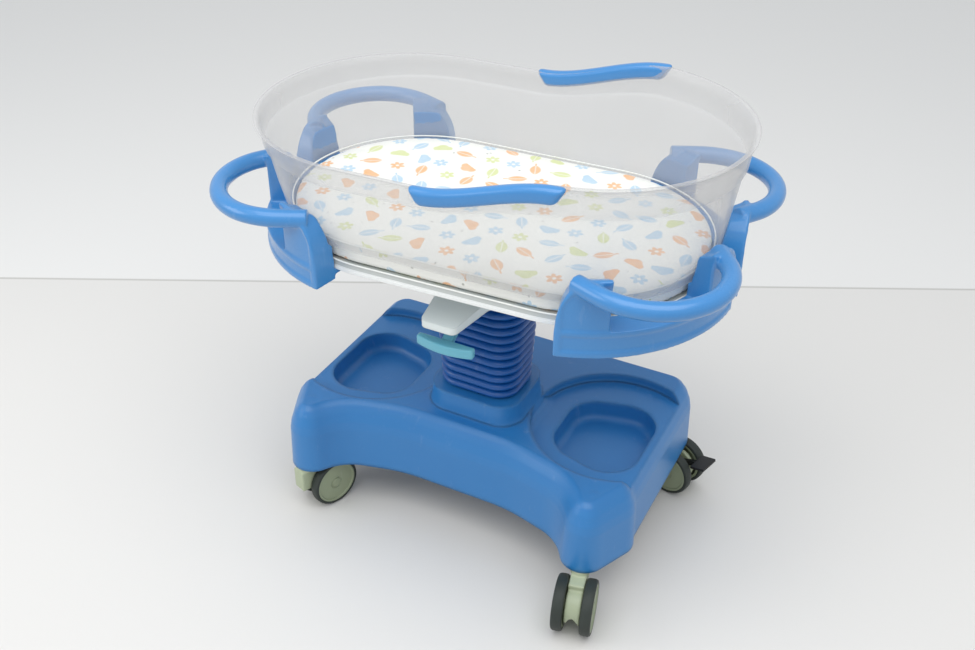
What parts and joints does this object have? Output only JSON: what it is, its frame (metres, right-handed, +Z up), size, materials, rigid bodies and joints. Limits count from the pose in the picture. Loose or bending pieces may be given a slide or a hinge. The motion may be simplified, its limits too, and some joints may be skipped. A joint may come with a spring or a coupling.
{
  "type": "hospital bassinet",
  "caption": "Newborn bassinet: a frosted oval tub with mattress on a tilting bed, carried by a gas-spring column with bellows on a base with two sunk trays and twin-wheel casters.",
  "frame": {"origin": "on the floor, under the middle of the bed; the column stands 18 mm to its left", "axes": "+X along the bed towards the end where the tub's rim is higher, +Z up"},
  "size_m": [0.9072, 0.6237, 0.843],
  "materials": {
    "base_blue": "moulded, satin gloss",
    "handle_blue": "moulded, gloss",
    "bellows_rubber": "satin",
    "frosted_tub": "frosted, translucent",
    "mattress_cover": "coated cloth, printed",
    "board_grey": "satin",
    "housing_white": "satin",
    "lever_teal": "satin",
    "caster_green": "matt",
    "hub_olive": "matt",
    "tyre_dark": "matt",
    "pedal_black": "matt",
    "guide_plastic": "acetal",
    "steel": "powder coat",
    "bright_steel": "zinc plated"
  },
  "bodies": {
    "base": {"base_cover": "base_blue", "base_beam": "steel", "cross_beams": "steel", "caster_stems": "bright_steel", "cover_screws": "bright_steel", "column_bolts": "bright_steel", "column_outer_tube": "steel", "column_bush": "guide_plastic", "gas_spring_cylinder": "steel", "bellows": "bellows_rubber"},
    "lift": {"column_inner_tube": "steel", "guide_ring": "guide_plastic", "gas_spring_rod": "bright_steel", "top_plate": "steel", "swivel_ring": "bright_steel", "lever_housing": "housing_white", "lever_pivot_pin": "bright_steel"},
    "lever": {"release_lever": "lever_teal"},
    "pin": {"release_pin": "bright_steel"},
    "swivel": {"tilt_yoke": "steel", "tilt_washers": "guide_plastic", "tilt_pin": "bright_steel"},
    "bed": {"bed_platform": "board_grey", "bed_support_plate": "steel", "tilt_bracket": "steel", "corner_handle_fr": "handle_blue", "corner_handle_fl": "handle_blue", "corner_handle_br": "handle_blue", "corner_handle_bl": "handle_blue", "handle_screws": "bright_steel"},
    "tub": {"tub": "frosted_tub", "grip_front": "handle_blue", "grip_back": "handle_blue"},
    "mattress": {"mattress": "mattress_cover"},
    "caster_fl": {"caster_housing_fl": "caster_green", "caster_axle_fl": "bright_steel"},
    "wheel_fl_a": {"hub_fl_a": "hub_olive", "tyre_fl_a": "tyre_dark"},
    "wheel_fl_b": {"hub_fl_b": "hub_olive", "tyre_fl_b": "tyre_dark"},
    "caster_fr": {"caster_housing_fr": "caster_green", "caster_axle_fr": "bright_steel"},
    "wheel_fr_a": {"hub_fr_a": "hub_olive", "tyre_fr_a": "tyre_dark"},
    "wheel_fr_b": {"hub_fr_b": "hub_olive", "tyre_fr_b": "tyre_dark"},
    "caster_bl": {"caster_housing_bl": "caster_green", "caster_axle_bl": "bright_steel"},
    "wheel_bl_a": {"hub_bl_a": "hub_olive", "tyre_bl_a": "tyre_dark"},
    "wheel_bl_b": {"hub_bl_b": "hub_olive", "tyre_bl_b": "tyre_dark"},
    "pedal_bl": {"brake_pedal_bl": "pedal_black"},
    "caster_br": {"caster_housing_br": "caster_green", "caster_axle_br": "bright_steel"},
    "wheel_br_a": {"hub_br_a": "hub_olive", "tyre_br_a": "tyre_dark"},
    "wheel_br_b": {"hub_br_b": "hub_olive", "tyre_br_b": "tyre_dark"},
    "pedal_br": {"brake_pedal_br": "pedal_black"}
  },
  "joints": [
    {"name": "height_lift", "type": "slide", "parent": "base", "child": "lift", "axis": [0, 0, 1], "range_m": [0, 0.2], "deforming": ["bellows"]},
    {"name": "release_lever", "type": "hinge", "parent": "lift", "child": "lever", "pos_m": [-0.01998, -0.04195, 0.506], "axis": [-0.9989, 0.0471, 0], "range_deg": [0, 8], "stiffness_Nm_per_rad": 2, "springref_deg": -5.73},
    {"name": "release_pin", "type": "slide", "parent": "lift", "child": "pin", "axis": [0, 0, -1], "range_m": [0, 0.0062]},
    {"name": "bed_swivel", "type": "hinge", "parent": "lift", "child": "swivel", "pos_m": [-0.018, 0, 0.52], "axis": [0, 0, 1], "range_deg": [-20, 20]},
    {"name": "bed_tilt", "type": "hinge", "parent": "swivel", "child": "bed", "pos_m": [-0.018, 0, 0.552], "axis": [0, 1, 0], "range_deg": [-12, 12]},
    {"name": "tub_lift", "type": "slide", "parent": "bed", "child": "tub", "axis": [0, 0, 1], "range_m": [0, 0.1]},
    {"name": "mattress_lift", "type": "slide", "parent": "bed", "child": "mattress", "axis": [0, 0, 1], "range_m": [0, 0.25]},
    {"name": "caster_swivel_fl", "type": "hinge", "parent": "base", "child": "caster_fl", "pos_m": [-0.3151, -0.18621, 0.102], "axis": [0, 0, 1], "continuous": true},
    {"name": "wheel_spin_fl_a", "type": "hinge", "parent": "caster_fl", "child": "wheel_fl_a", "pos_m": [-0.32118, -0.13597, 0.05], "axis": [-0.9225, 0.3859, 0], "continuous": true},
    {"name": "wheel_spin_fl_b", "type": "hinge", "parent": "caster_fl", "child": "wheel_fl_b", "pos_m": [-0.27506, -0.15527, 0.05], "axis": [-0.9225, 0.3859, 0], "continuous": true},
    {"name": "caster_swivel_fr", "type": "hinge", "parent": "base", "child": "caster_fr", "pos_m": [0.26026, -0.21335, 0.102], "axis": [0, 0, 1], "continuous": true},
    {"name": "wheel_spin_fr_a", "type": "hinge", "parent": "caster_fr", "child": "wheel_fr_a", "pos_m": [0.29272, -0.25217, 0.05], "axis": [0.9839, 0.1788, 0], "continuous": true},
    {"name": "wheel_spin_fr_b", "type": "hinge", "parent": "caster_fr", "child": "wheel_fr_b", "pos_m": [0.24353, -0.26111, 0.05], "axis": [0.9839, 0.1788, 0], "continuous": true},
    {"name": "caster_swivel_bl", "type": "hinge", "parent": "base", "child": "caster_bl", "pos_m": [-0.29612, 0.21634, 0.102], "axis": [0, 0, 1], "continuous": true},
    {"name": "wheel_spin_bl_a", "type": "hinge", "parent": "caster_bl", "child": "wheel_bl_a", "pos_m": [-0.3456, 0.22695, 0.05], "axis": [-0.6652, -0.7466, 0], "continuous": true},
    {"name": "wheel_spin_bl_b", "type": "hinge", "parent": "caster_bl", "child": "wheel_bl_b", "pos_m": [-0.31234, 0.26428, 0.05], "axis": [-0.6652, -0.7466, 0], "continuous": true},
    {"name": "brake_bl", "type": "hinge", "parent": "caster_bl", "child": "pedal_bl", "pos_m": [-0.34465, 0.25958, 0.066], "axis": [-0.6652, -0.7466, 0], "range_deg": [0, 14]},
    {"name": "caster_swivel_br", "type": "hinge", "parent": "base", "child": "caster_br", "pos_m": [0.27924, 0.18921, 0.102], "axis": [0, 0, 1], "continuous": true},
    {"name": "wheel_spin_br_a", "type": "hinge", "parent": "caster_br", "child": "wheel_br_a", "pos_m": [0.32876, 0.19965, 0.05], "axis": [0.304, 0.9527, 0], "continuous": true},
    {"name": "wheel_spin_br_b", "type": "hinge", "parent": "caster_br", "child": "wheel_br_b", "pos_m": [0.31356, 0.15201, 0.05], "axis": [0.304, 0.9527, 0], "continuous": true},
    {"name": "brake_br", "type": "hinge", "parent": "caster_br", "child": "pedal_br", "pos_m": [0.34117, 0.16945, 0.066], "axis": [0.304, 0.9527, 0], "range_deg": [0, 14]}
  ],
  "couplings": [
    {"joint": "release_pin", "follows": "release_lever", "m_per_rad": 0.0436}
  ]
}
